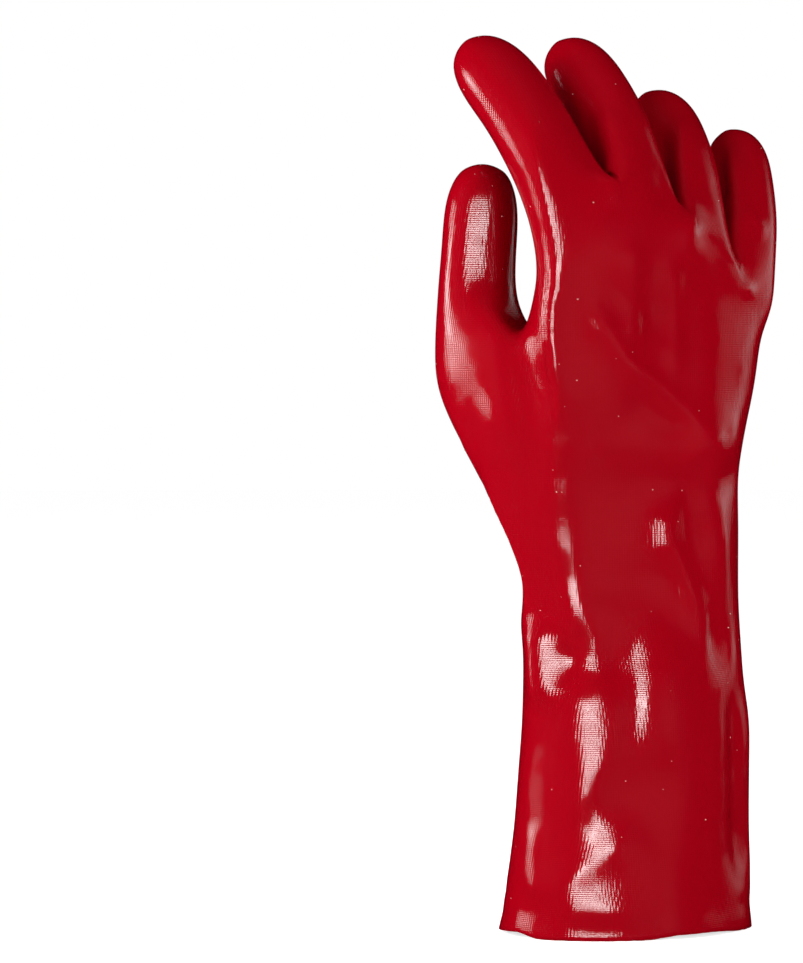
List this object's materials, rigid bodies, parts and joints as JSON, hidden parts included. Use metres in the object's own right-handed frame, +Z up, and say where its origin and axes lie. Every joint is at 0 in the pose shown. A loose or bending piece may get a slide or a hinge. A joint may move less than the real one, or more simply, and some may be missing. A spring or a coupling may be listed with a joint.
{
  "type": "pvc coated work glove",
  "caption": "Right-hand chemical gauntlet with a long flared cuff, dipped in glossy PVC over a knitted liner, standing upright on its open cuff.",
  "frame": {"origin": "middle of the base of the bounding box, in the plane of the cuff's cut rim", "axes": "+Z up from the cuff to the fingers, -Y out of the back of the hand, +Y out of the palm, -X towards the thumb side, +X towards the little finger"},
  "size_m": [0.1386, 0.0962, 0.3423],
  "materials": {
    "pvc_coat": "glossy red PVC dip, bonded to the knitted liner inside"
  },
  "bodies": {
    "root": {"glove_shell": "pvc_coat"}
  },
  "joints": []
}
